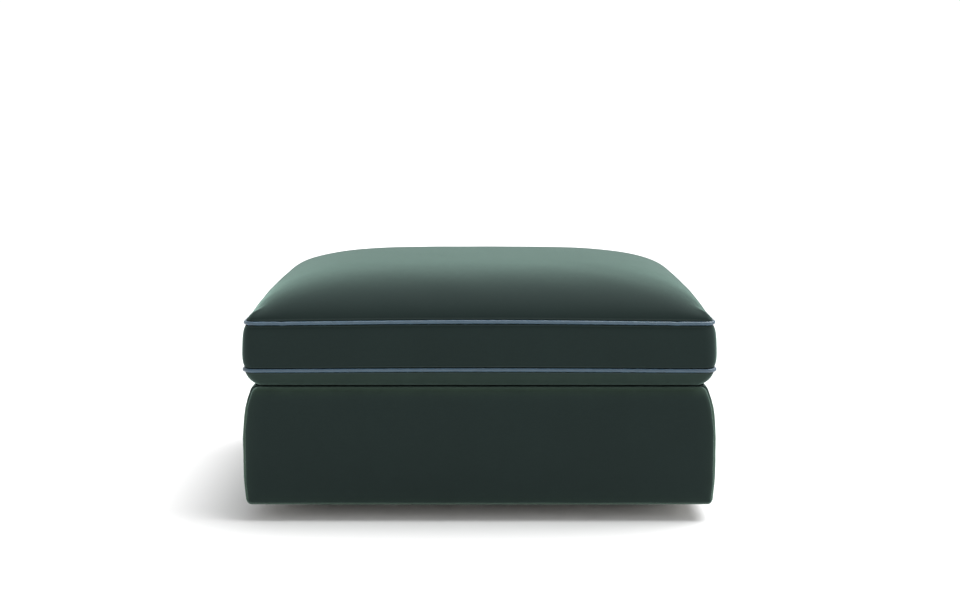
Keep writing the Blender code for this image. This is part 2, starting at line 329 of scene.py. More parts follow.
@dataclass(frozen=True)
class Velvet:
    """Short-piled cotton velvet: dark seen straight on, pale where its brushed nap is seen edge on."""

    name: str = "green_velvet"
    deep: Colour = (0.0088, 0.0162, 0.0150)
    raised: Colour = (0.0145, 0.0255, 0.0236)
    sheen: float = 0.67
    sheen_roughness: float = 0.33
    sheen_tint: Colour = (0.62, 0.96, 0.83)
    roughness: float = 0.86
    roughness_spread: float = 0.10
    brushed_mix: tuple[float, float, float] = (0.5, 0.2, 0.3)  # of clouds, streaks and nap
    cloud_size: float = 0.16  # of the patches that brushing leaves
    streak_size: float = 0.035
    streak_stretch: Stretch = (1.0, 1.0, 3.0)
    nap_size: float = 0.0013
    nap_stretch: Stretch = (1.0, 1.0, 1.8)
    nap_depth: float = 0.00030
    streak_relief: float = 0.5  # how high streaks stand beside the nap
    specular: float = 0.15
    painted_highlight: Colour = (0.082, 0.130, 0.092)  # painted highlight: lighter, greener pile laid along edges and on the cushion's bottom panel
    highlight_streaking: float = 0.6  # how unevenly the painted highlight lies
    painted_shade: Colour = (0.0030, 0.0050, 0.0045)  # painted shade in the crevice under the cushion and beside the cords
    edge: Colour = (0.088, 0.122, 0.112)  # the tips of the pile, seen edge on
    edge_start: float = 0.84  # where that begins, from 0 straight on to 1 edge on
    edge_most: float = 0.75
    matt_roughness: float = 0.9  # of the painted shade, of the pile's tips and of lining
    matt_specular: float = 0.05
    lining: Colour = (0.58, 0.57, 0.54)  # pale lining cloth that closes the base's underside

    def material(self) -> bpy.types.Material:
        """Builds the velvet with its brushed patches, its nap, and painted highlight and shade from the
        mesh.

        Returns:
            The material.
        """
        graph = Graph(self.name)
        clouds = graph.grain(self.cloud_size, detail=3.0)
        streaks = graph.grain(self.streak_size, self.streak_stretch)
        nap = graph.grain(self.nap_size, self.nap_stretch)
        cloud_part, streak_part, nap_part = self.brushed_mix
        brushed = clouds * cloud_part + streaks * streak_part + nap * nap_part
        # shares of painted highlight, of painted shade and of lining, kept on the mesh's points
        highlight_share, shade_share, lining_share = graph.painted(CLOTH_PLACE)
        pile = graph.blend(self.deep, self.raised, brushed)
        matt_share = shade_share + lining_share
        edge_share = graph.edge_on(self.edge_start, self.edge_most) * (1 - matt_share)
        # the matt layer: pile tips seen edge on, turned to painted shade where the mesh asks, and lining
        flat = graph.blend(self.edge, self.painted_shade, shade_share)
        matt = {
            "Base Color": graph.blend(flat, self.lining, lining_share),
            "Roughness": self.matt_roughness + self.roughness_spread * streaks,
            "Specular IOR Level": self.matt_specular,
        }
        graph.lay_over(matt, matt_share + edge_share)
        # the painted highlight, made uneven by the streaks
        streaked = 1 - self.highlight_streaking / 2 + self.highlight_streaking * streaks
        return graph.finish(
            {
                "Base Color": graph.blend(pile, self.painted_highlight, highlight_share * streaked),
                "Roughness": self.roughness + self.roughness_spread * (brushed - 0.5),
                "Normal": graph.relief(nap + streaks * self.streak_relief, self.nap_depth),
                "Specular IOR Level": self.specular,
                "Sheen Weight": self.sheen,
                "Sheen Roughness": self.sheen_roughness,
                "Sheen Tint": (*self.sheen_tint, 1.0),
            }
        )


@dataclass(frozen=True)
class PipingCloth:
    """Plain cotton cut on the bias and sewn round a cord, so that its weave crosses the cord aslant."""

    name: str = "blue_piping_cloth"
    deep: Colour = (0.022, 0.053, 0.082)
    raised: Colour = (0.045, 0.094, 0.140)
    roughness: float = 0.08
    specular: float = 0.70
    sheen: float = 0.25
    sheen_roughness: float = 0.25
    sheen_tint: Colour = (0.50, 0.80, 1.0)
    thread: float = 0.00055  # from one thread to the next
    thread_depth: float = 0.00010
    weave_paling: float = 0.45
    wear_size: float = 0.02  # of the patches where it is rubbed pale and dull
    wear_paling: float = 0.7
    wear_dullness: float = 0.15

    def material(self) -> bpy.types.Material:
        """Builds the cloth, whose threads follow the places kept on the cord's mesh.

        Returns:
            The material.
        """
        graph = Graph(self.name)
        along, around, _ = graph.painted(CORD_PLACE)
        turn = TAU / self.thread / math.sqrt(2)
        warp = ((along + around) * turn).wave()
        weft = ((along - around) * turn).wave()
        weave = warp * weft
        worn = graph.grain(self.wear_size, detail=3.0)
        paleness = weave * self.weave_paling + worn * self.wear_paling
        return graph.finish(
            {
                "Base Color": graph.blend(self.deep, self.raised, paleness),
                "Roughness": self.roughness + self.wear_dullness * worn,
                "Specular IOR Level": self.specular,
                "Normal": graph.relief(weave, self.thread_depth),
                "Sheen Weight": self.sheen,
                "Sheen Roughness": self.sheen_roughness,
                "Sheen Tint": (*self.sheen_tint, 1.0),
            }
        )


@dataclass(frozen=True)
class MouldedPlastic:
    """Black moulded plastic with a fine spark-eroded grain."""

    name: str = "black_foot_plastic"
    deep: Colour = (0.010, 0.010, 0.011)
    scuffed: Colour = (0.024, 0.024, 0.025)
    roughness: float = 0.42
    scuff_size: float = 0.012
    scuff_stretch: Stretch = (1.0, 1.0, 0.3)
    scuff_dullness: float = 0.2
    grain_size: float = 0.0008
    grain_depth: float = 0.00006

    def material(self) -> bpy.types.Material:
        """Builds the plastic with its grain and light scuffs.

        Returns:
            The material.
        """
        graph = Graph(self.name)
        scuffs = graph.grain(self.scuff_size, self.scuff_stretch, detail=4.0)
        grain = graph.grain(self.grain_size)
        return graph.finish(
            {
                "Base Color": graph.blend(self.deep, self.scuffed, scuffs),
                "Roughness": self.roughness + self.scuff_dullness * scuffs,
                "Normal": graph.relief(grain, self.grain_depth),
            }
        )


@dataclass(frozen=True)
class StudioPaper:
    """White, matt background paper."""

    name: str = "white_studio_paper"
    low: Colour = (0.80, 0.80, 0.80)
    high: Colour = (0.82, 0.82, 0.82)
    cloud_size: float = 0.4
    roughness: float = 0.9

    def material(self) -> bpy.types.Material:
        """Builds the paper, with a faint cloudiness.

        Returns:
            The material.
        """
        graph = Graph(self.name)
        shade = graph.blend(self.low, self.high, graph.grain(self.cloud_size))
        return graph.finish({"Base Color": shade, "Roughness": self.roughness})


# ---- Meshes --------------------------------------------------------------------------------------


def lattice_shell(cells: tuple[int, int, int]) -> tuple[Array, Array]:
    """The outer skin of a block that is cut into cells.

    Args:
        cells: how many cells there are along each axis.

    Returns:
        The skin's lattice points, one row (i, j, k) each, and its quads as rows of four point numbers.
    """
    quads = []
    for axis in range(3):
        first, second = (axis + 1) % 3, (axis + 2) % 3
        a, b = np.meshgrid(np.arange(cells[first]), np.arange(cells[second]), indexing="ij")
        for side in (0, cells[axis]):
            corners = np.zeros((a.size, 4, 3), int)
            corners[:, :, axis] = side
            for n, (da, db) in enumerate(((0, 0), (1, 0), (1, 1), (0, 1))):
                corners[:, n, first] = a.ravel() + da
                corners[:, n, second] = b.ravel() + db
            quads.append(corners if side else corners[:, ::-1])
    every = np.concatenate(quads).reshape(-1, 3)
    points, index = np.unique(every, axis=0, return_inverse=True)
    return points, index.reshape(-1, 4)


def new_piece(name: str, points: Array, quads: Array, material: bpy.types.Material) -> bpy.types.Object:
    """Makes a smooth-shaded mesh object.

    Args:
        name: the piece's name.
        points: its points, one row each.
        quads: its faces, as rows of four point numbers.
        material: its finish.

    Returns:
        The object, linked to the scene.
    """
    mesh = bpy.data.meshes.new(name)
    mesh.from_pydata(points.tolist(), [], quads.tolist())
    mesh.materials.append(material)
    mesh.shade_smooth()
    piece = bpy.data.objects.new(name, mesh)
    bpy.context.scene.collection.objects.link(piece)
    return piece


def rows_of(items: Any, name: str) -> Array:
    """Reads a vector of each of a mesh's items.

    Args:
        items: the mesh's list of them.
        name: which of their vectors it is.

    Returns:
        The vectors, one row each.
    """
    flat = np.empty(len(items) * 3)
    items.foreach_get(name, flat)
    return flat.reshape(-1, 3)


def points_of(mesh: bpy.types.Mesh) -> Array:
    """A mesh's points, one row each."""
    return rows_of(mesh.vertices, "co")


def normals_of(mesh: bpy.types.Mesh) -> Array:
    """The normals at a mesh's points, one row each."""
    return rows_of(mesh.vertex_normals, "vector")


def set_points(mesh: bpy.types.Mesh, points: Array) -> None:
    """Moves a mesh's points."""
    mesh.vertices.foreach_set("co", points.ravel())
    mesh.update()


def keep(mesh: bpy.types.Mesh, name: str, *columns: Array) -> None:
    """Keeps values at a mesh's points, for the finishes.

    Args:
        mesh: the mesh.
        name: what they are kept under.
        columns: up to three values, each with a number a point.
    """
    rows = np.zeros((len(mesh.vertices), 3))
    for number, column in enumerate(columns):
        rows[:, number] = column
    kept = mesh.attributes.new(name, "FLOAT_VECTOR", "POINT")
    kept.data.foreach_set("vector", rows.ravel())


def subdivide(piece: bpy.types.Object) -> None:
    """Splits each quad of a piece in four, with the surface smoothed.

    Args:
        piece: the piece.
    """
    piece.modifiers.new("finer", "SUBSURF").levels = 1
    finer = bpy.data.meshes.new_from_object(piece.evaluated_get(bpy.context.evaluated_depsgraph_get()))
    piece.modifiers.clear()
    piece.data = finer
    finer.name = piece.name


@dataclass(frozen=True)
class Filling:
    """Stuffing that presses a sewn cover outwards, worked out with Blender's cloth."""

    pressure: float = 4.0
    frames: int = 20
    quality: int = 5  # steps that each frame is worked out in
    most: float = 0.0012  # how far the furthest point of the cover may move
    spare_cloth: float = 0.006  # share by which the cover is cut larger than its form

    def settle(self, piece: bpy.types.Object, held: Array) -> float:
        """Presses a cover out between its seams and keeps the result as its mesh.

        Args:
            piece: the cover, as one closed mesh.
            held: numbers of the points that the seams hold still.

        Returns:
            The furthest that a point moved.
        """
        start = points_of(piece.data)
        group = piece.vertex_groups.new(name="seams")
        group.add(held.tolist(), 1.0, "REPLACE")
        cloth = piece.modifiers.new("filling", "CLOTH")
        cloth.settings.quality = self.quality
        cloth.settings.vertex_group_mass = group.name
        cloth.settings.use_pressure = True
        cloth.settings.uniform_pressure_force = self.pressure
        cloth.settings.shrink_min = -self.spare_cloth
        cloth.settings.effector_weights.gravity = 0
        cloth.collision_settings.use_collision = False
        scene = bpy.context.scene
        for number in range(1, self.frames + 1):
            scene.frame_set(number)
        settled = piece.evaluated_get(bpy.context.evaluated_depsgraph_get())
        moved = points_of(settled.data) - start
        scene.frame_set(1)
        piece.modifiers.clear()
        piece.vertex_groups.clear()
        furthest = float(np.linalg.norm(moved, axis=1).max())
        share = min(1.0, self.most / max(furthest, 1e-9))
        set_points(piece.data, start + moved * share)
        return furthest * share


@dataclass(frozen=True)
class SeamPull:
    """The small tucks that thread pulls into cloth beside a seam, and how uneven the stuffing is."""

    spacing: float = 0.013
    depth: float = 0.0005
    reach: float = 0.011
    uneven: float = 0.0002
    uneven_size: float = 0.11

    def tucks(self, along: Array, away: Array, seed: int) -> Array:
        """How far the cloth dips at points beside a seam.

        Args:
            along: each point's place along the seam.
            away: its distance from the seam.
            seed: which seam it is.

        Returns:
            The dip at each point.
        """
        waves = soft_waves(along, self.spacing, seed)
        return self.depth * waves * np.exp(-((away / self.reach) ** 2))

    def swells(self, points: Array, seed: int) -> Array:
        """How far uneven stuffing lifts the cloth at points."""
        return self.uneven * soft_waves(points, self.uneven_size, seed)


# ---- Cushion -------------------------------------------------------------------------------------


@dataclass
class SeatCushion:
    """The loose box cushion. Its crowned top, its boxing and its bottom panel meet in two piped seams."""

    velvet: bpy.types.Material

    seam_radius: float = 0.022
    seam_flare: float = 0.0036  # the lower seam lies this much further out than the upper one
    upper_rise: float = 0.0035  # the filling lifts the middle of each side's seams
    lower_rise: float = 0.0018
    boxing_bulge: float = 0.0052
    boxing_fullness: float = 3.5  # power of the bulge's section: higher is boxier
    under_steep: float = math.radians(82)  # slope of the bottom panel beside its seam
    under_flat: float = math.radians(18)  # and where it comes to rest on the base
    under_sharpening: float = 0.8  # how fast its corners tighten on the way in

    side_power: float = 4.4  # fall of the crown towards the side seams, and its roll over beside them
    side_edge_power: float = 30.0
    side_edge_share: float = 0.42
    side_root: float = 1.06
    front_power: float = 4.0
    front_root: float = 0.53
    corner_root: float = 0.30  # towards the corners its front edge is steeper
    corner_power: float = 4.0
    corner_pinch: float = 0.29  # share by which the sewn corners hold it down
    pinch_reach: float = 0.056
    ear_height: float = 0.0085  # fold that each sewn corner of the top stands up in
    ear_length: float = 0.050
    ear_peak: float = 0.20  # where it is highest, as a share of its length
    ear_width: float = 0.0065
    ear_crest: float = 0.0010  # rounding of its edge

    cord_radius: float = 0.004
    groove_radius: float = 0.0045
    groove_half_arc: float = math.radians(80)
    top_arc: float = math.radians(62)  # the top panel's edge lies further in over the cord

    cells_x: int = 36
    cells_y: int = 31
    corner_cells: int = 6
    boxing_cells: int = 12
    groove_cells: int = 4
    under_cells: int = 6
    inner_fining: float = 1.3  # how much finer the cells get towards the seams
    corner_fining: float = 1.5

    highlight_under: float = 0.12  # share of painted highlight on the bottom panel, which makes it lighter and greener
    highlight_fade: float = 0.010
    shade_height: float = 0.005  # how far up from the base the painted shade of the crevice reaches
    shade_reach: float = 0.0075  # how far from the middle of a cord the painted shade beside it reaches
    shade_fade: float = 0.003
    tuck_inset: float = 0.05  # the tucks die out over this much towards the corners
    still_height: float = 0.004  # near the base the cover keeps its form
    still_fade: float = 0.02
    filling: Filling = Filling()
    pull: SeamPull = SeamPull()
    tuck_seed: int = 11
    swell_seed: int = 5

    def __post_init__(self) -> None:
        """Reads the seams' lines and the cushion's heights from the solids."""
        upper_low, upper_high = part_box("piping_upper")
        self.half_x = upper_high.x - self.cord_radius
        self.half_y = upper_high.y - self.cord_radius
        self.upper_seam = upper_low.z + self.cord_radius
        self.lower_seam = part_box("piping_lower")[0].z + self.cord_radius
        low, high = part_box("cushion")
        self.bottom, self.crown_top = low.z, high.z

    def plan(self, i: Array, j: Array, half_x: Array, half_y: Array, radius: Array) -> tuple[Array, Array]:
        """Places lines of cells in a round-cornered plan.

        Args:
            i: lines of cells along X, counted from the middle.
            j: lines of cells along Y.
            half_x: the plan's half width.
            half_y: the plan's half depth.
            radius: its corner radius.

        Returns:
            The places, and the places in the same plan with square corners, as rows (x, y).
        """
        size_i, size_j = np.abs(i), np.abs(j)
        across = np.maximum(size_i - self.cells_x, 0)
        along = np.maximum(size_j - self.cells_y, 0)
        inner_x = (half_x - radius) * finer_outward(size_i, self.cells_x, self.inner_fining)
        inner_y = (half_y - radius) * finer_outward(size_j, self.cells_y, self.inner_fining)
        out_x = radius * finer_outward(across, self.corner_cells, self.corner_fining)
        out_y = radius * finer_outward(along, self.corner_cells, self.corner_fining)
        reach = np.maximum(out_x, out_y)
        turn = QUARTER * corner_turn(across, along)
        in_corner = (across > 0) & (along > 0)
        x = inner_x + np.where(in_corner, reach * np.cos(turn), out_x)
        y = inner_y + np.where(in_corner, reach * np.sin(turn), out_y)
        side_x, side_y = np.sign(i), np.sign(j)
        round_plan = np.stack([side_x * x, side_y * y], axis=1)
        square_plan = np.stack([side_x * (inner_x + out_x), side_y * (inner_y + out_y)], axis=1)
        return round_plan, square_plan

    def rings(self) -> Array:
        """Rings of cells from the flat underside to the top panel's edge.

        Returns:
            Rows of each ring's offset from the upper seam's line, corner radius, height and lift in
            the middle of each side.
        """
        rows = []
        deep = self.lower_seam - self.bottom
        bend = deep / (math.cos(self.under_flat) - math.cos(self.under_steep))
        for slope in np.linspace(self.under_flat, self.under_steep, self.under_cells, endpoint=False):
            inward = bend * (math.sin(self.under_steep) - math.sin(slope))
            depth = bend * (math.cos(slope) - math.cos(self.under_steep))
            share = inward / bend
            radius = self.seam_radius * (1 - self.under_sharpening * share)
            lift = self.lower_rise * (1 - depth / deep)
            rows.append((self.seam_flare - inward, radius, self.lower_seam - depth, lift))
        rows += self.groove(self.seam_flare, self.lower_seam, self.lower_rise, self.groove_half_arc)
        reach = math.sin(self.groove_half_arc) * self.groove_radius
        for step in range(1, self.boxing_cells):
            share = step / self.boxing_cells
            bulge = self.boxing_bulge * (1 - abs(2 * share - 1) ** self.boxing_fullness)
            height = mix(self.lower_seam + reach, self.upper_seam - reach, share)
            lift = mix(self.lower_rise, self.upper_rise, share)
            rows.append((mix(self.seam_flare, 0.0, share) + bulge, self.seam_radius + bulge, height, lift))
        rows += self.groove(0.0, self.upper_seam, self.upper_rise, self.top_arc)
        return np.array(rows)

    def groove(self, offset: float, height: float, lift: float, end: float) -> list[Ring]:
        """Rings of the half-round groove that a cord lies in.

        Args:
            offset: how far out the cord's middle lies from the upper seam's line.
            height: height of its middle.
            lift: lift in the middle of each side.
            end: angle above level at which the groove's upper lip lies.

        Returns:
            Rows as rings gives them.
        """
        rows = []
        for step in range(self.groove_cells + 1):
            angle = mix(-self.groove_half_arc, end, step / self.groove_cells)
            inward = self.groove_radius * math.cos(angle)
            up = self.groove_radius * math.sin(angle)
            rows.append((offset - inward, self.seam_radius - inward, height + up, lift))
        return rows

    def seam_half(self, seam: Seam) -> Array:
        """Half width and half depth of a seam's line."""
        return np.array([self.half_x, self.half_y]) + (self.seam_flare if seam is Seam.LOWER else 0.0)

    def seam_height(self, seam: Seam, places: Array) -> Array:
        """Height of a seam.

        Args:
            seam: which seam it is.
            places: places in plan, one row (x, y) each.

        Returns:
            The height at each place.
        """
        lifted = self.lifted(*(places / self.seam_half(seam)).T)
        if seam is Seam.UPPER:
            return self.upper_seam + self.upper_rise * lifted
        return self.lower_seam + self.lower_rise * lifted

    def seam_distance(self, seam: Seam, points: Array) -> Array:
        """How far points lie from the middle of a seam's cord.

        Args:
            seam: which seam it is.
            points: the points, one row each.

        Returns:
            The distance of each.
        """
        place = np.abs(points[:, :2])
        past = place - self.seam_half(seam) + self.seam_radius
        out = np.hypot(*np.maximum(past, 0).T) + np.minimum(past.max(axis=1), 0) - self.seam_radius
        return np.hypot(out, points[:, 2] - self.seam_height(seam, place))

    def lifted(self, u: Array, v: Array) -> Array:
        """Share of a seam's lift: none near the corners, full in the middle of each side."""
        return (1 - np.minimum((u * v) ** 2, 1.0)) ** 2

    def crown(self, u: Array, v: Array, inset_x: Array, inset_y: Array) -> Array:
        """Height of the top panel above its edge.

        Args:
            u: place from -1 to 1 along X.
            v: place from -1 to 1 along Y.
            inset_x: distance from the nearer side seam.
            inset_y: distance from the nearer front or back seam.

        Returns:
            The height at each place.
        """
        edge = self.upper_seam + self.groove_radius * math.sin(self.top_arc) + self.upper_rise
        u, v = np.minimum(np.abs(u), 1.0), np.minimum(np.abs(v), 1.0)
        fall = mix(u**self.side_power, u**self.side_edge_power, self.side_edge_share)
        across = (1 - fall) ** self.side_root
        root = mix(self.front_root, self.corner_root, u**self.corner_power)
        along = (1 - v**self.front_power) ** root
        pinch = self.corner_pinch * np.exp(-((np.hypot(inset_x, inset_y) / self.pinch_reach) ** 2))
        return (self.crown_top - edge) * across * along * (1 - pinch) + self.ear(inset_x, inset_y)

    def ear(self, inset_x: Array, inset_y: Array) -> Array:
        """Height of the fold that runs in from each corner, with its crest on the diagonal.

        Args:
            inset_x: distance from the nearer side seam.
            inset_y: distance from the nearer front or back seam.

        Returns:
            The height at each place.
        """
        share = np.clip((inset_x + inset_y) / 2 / self.ear_length, 0.0, 1.0)
        fade = (1 - self.ear_peak) / self.ear_peak
        highest = self.ear_peak * (1 - self.ear_peak) ** fade
        aside = np.hypot((inset_x - inset_y) / math.sqrt(2), self.ear_crest) - self.ear_crest
        return self.ear_height * share * (1 - share) ** fade / highest * np.exp(-aside / self.ear_width)

    def form(self) -> tuple[Array, Array, Array]:
        """Works out the cover's form before its filling presses it out.

        Returns:
            Its points, its quads, and the numbers of the points that seams and base hold still.
        """
        rings = self.rings()
        top = len(rings) - 1
        reach_x = self.cells_x + self.corner_cells
        reach_y = self.cells_y + self.corner_cells
        lattice, quads = lattice_shell((2 * reach_x, 2 * reach_y, top))
        offset, radius, height, lift = rings[lattice[:, 2]].T
        half_x, half_y = self.half_x + offset, self.half_y + offset
        i, j = lattice[:, 0] - reach_x, lattice[:, 1] - reach_y
        flat, square = self.plan(i, j, half_x, half_y, radius)
        u, v = square[:, 0] / half_x, square[:, 1] / half_y
        z = height + lift * self.lifted(u, v)
        on_top = lattice[:, 2] == top
        inset_x, inset_y = half_x - np.abs(square[:, 0]), half_y - np.abs(square[:, 1])
        z = z + np.where(on_top, self.crown(u, v, inset_x, inset_y), 0.0)
        points = np.column_stack([flat, z])
        edge = (np.abs(i) == reach_x) | (np.abs(j) == reach_y)
        grooves = np.abs(rings[:, 2] - self.lower_seam) <= self.groove_radius
        grooves |= np.abs(rings[:, 2] - self.upper_seam) <= self.groove_radius
        held = (edge & grooves[lattice[:, 2]]) | (lattice[:, 2] == 0)
        return points, quads, np.flatnonzero(held)

    def add_tucks(self, piece: bpy.types.Object) -> None:
        """Pulls small tucks into the cover beside both seams, and leaves it a little uneven.

        Args:
            piece: the cover.
        """
        points = points_of(piece.data)
        inset_x = self.half_x - np.abs(points[:, 0])
        inset_y = self.half_y - np.abs(points[:, 1])
        along = np.where(inset_x < inset_y, points[:, 1], points[:, 0])
        clear = smooth(np.maximum(inset_x, inset_y) / self.tuck_inset)
        move = self.pull.swells(points, self.swell_seed)
        for number, seam in enumerate((self.lower_seam, self.upper_seam)):
            away = np.hypot(np.maximum(np.minimum(inset_x, inset_y), 0), points[:, 2] - seam)
            move += clear * self.pull.tucks(along, away, self.tuck_seed + number)
        move *= smooth((points[:, 2] - self.bottom - self.still_height) / self.still_fade)
        set_points(piece.data, points + normals_of(piece.data) * move[:, None])

    def mark_painted_light(self, piece: bpy.types.Object) -> None:
        """Keeps the shares of painted highlight and of painted shade on the cover's points.

        Args:
            piece: the cover.
        """
        points = points_of(piece.data)
        height = points[:, 2]
        # painted shade near the base and beside both cords
        bands = [self.bottom + self.shade_height - height]
        bands += [self.shade_reach - self.seam_distance(seam, points) for seam in Seam]
        painted_shade = smooth(np.max(bands, axis=0) / self.shade_fade)
        # painted highlight on the bottom panel
        painted_highlight = self.highlight_under * smooth((self.lower_seam - height) / self.highlight_fade)
        keep(piece.data, CLOTH_PLACE, painted_highlight, painted_shade)

    def build(self) -> bpy.types.Object:
        """Builds the cushion and puts it in its solid's place.

        Returns:
            The piece.
        """
        points, quads, held = self.form()
        piece = new_piece("seat_cushion", points, quads, self.velvet)
        moved = self.filling.settle(piece, held)
        log.info("seat_cushion: its filling moves the cover by up to %.1f mm", moved * 1000)
        subdivide(piece)
        self.add_tucks(piece)
        self.mark_painted_light(piece)
        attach(piece, "root")
        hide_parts("cushion")
        return piece


@dataclass
class Piping:
    """A cord in bias-cut cloth, sewn into one of the cushion's seams."""

    cushion: SeatCushion
    cloth: bpy.types.Material
    step: float = 0.004  # from one ring of points to the next
    corner_fining: float = 2.0  # rings are this much closer round the corners
    sides: int = 16
    uneven: float = 0.00012  # of its radius
    uneven_size: float = 0.03
    uneven_seed: int = 5
    kink_inset: float = 0.075  # where the end of the sewing pulls the cord, from each corner
    kink_depth: float = 0.0009
    kink_width: float = 0.005

    def line(self, seam: Seam) -> tuple[Array, Array, Array]:
        """The middle of the cord, once round the cushion.

        Args:
            seam: which seam it runs in.

        Returns:
            Its points, the way out from the cushion at each, and the distance along it.
        """
        cushion = self.cushion
        half = cushion.seam_half(seam)
        centres = np.array([(1, 1), (-1, 1), (-1, -1), (1, -1)]) * (half - cushion.seam_radius)
        places, outward = [], []
        arc_steps = round(QUARTER * cushion.seam_radius / self.step * self.corner_fining)
        for quarter, (start, end) in enumerate(zip(centres, np.roll(centres, -1, axis=0))):
            for turn in np.linspace(0, QUARTER, arc_steps + 1):
                angle = turn + quarter * QUARTER
                out = np.array([math.cos(angle), math.sin(angle)])
                places.append(start + out * cushion.seam_radius)
                outward.append(out)
            straight = np.linalg.norm(end - start)
            count = round(straight / self.step)
            for share in np.arange(1, count) / count:
                places.append(mix(start, end, share) + out * cushion.seam_radius)
                outward.append(out)
        flat = np.array(places)
        runs = np.linalg.norm(np.diff(flat, axis=0), axis=1)
        along = np.concatenate([[0.0], np.cumsum(runs)])
        height = cushion.seam_height(seam, flat)
        if seam is Seam.UPPER:
            inset = np.sort(half - np.abs(flat), axis=1)[:, 1]
            height -= self.kink_depth * np.exp(-(((inset - self.kink_inset) / self.kink_width) ** 2))
        return np.column_stack([flat, height]), np.array(outward), along

    def build(self, seam: Seam) -> bpy.types.Object:
        """Builds the cord of one seam.

        Args:
            seam: which seam it is sewn into.

        Returns:
            The piece.
        """
        middle, outward, along = self.line(seam)
        count = len(middle)
        angles = TAU * np.arange(self.sides) / self.sides
        waves = soft_waves(along, self.uneven_size, self.uneven_seed)
        radius = self.cushion.cord_radius - self.uneven + self.uneven * waves
        out = np.column_stack([outward, np.zeros(count)])
        rim = out[:, None, :] * np.cos(angles)[None, :, None]
        rim = rim + np.array([0, 0, 1.0]) * np.sin(angles)[None, :, None]
        points = middle[:, None, :] + rim * radius[:, None, None]
        a = np.arange(count)[:, None] * self.sides
        b = (np.arange(count)[:, None] + 1) % count * self.sides
        here = np.arange(self.sides)[None, :]
        after = (here + 1) % self.sides
        quads = np.stack([a + here, b + here, b + after, a + after], axis=2).reshape(-1, 4)
        name = f"piping_{seam.value}_cord"
        piece = new_piece(name, points.reshape(-1, 3), quads, self.cloth)
        around = np.tile(self.cushion.cord_radius * np.minimum(angles, TAU - angles), count)
        keep(piece.data, CORD_PLACE, np.repeat(along, self.sides), around)
        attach(piece, "root")
        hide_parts(f"piping_{seam.value}")
        return piece


# ---- Base ----------------------------------------------------------------------------------------


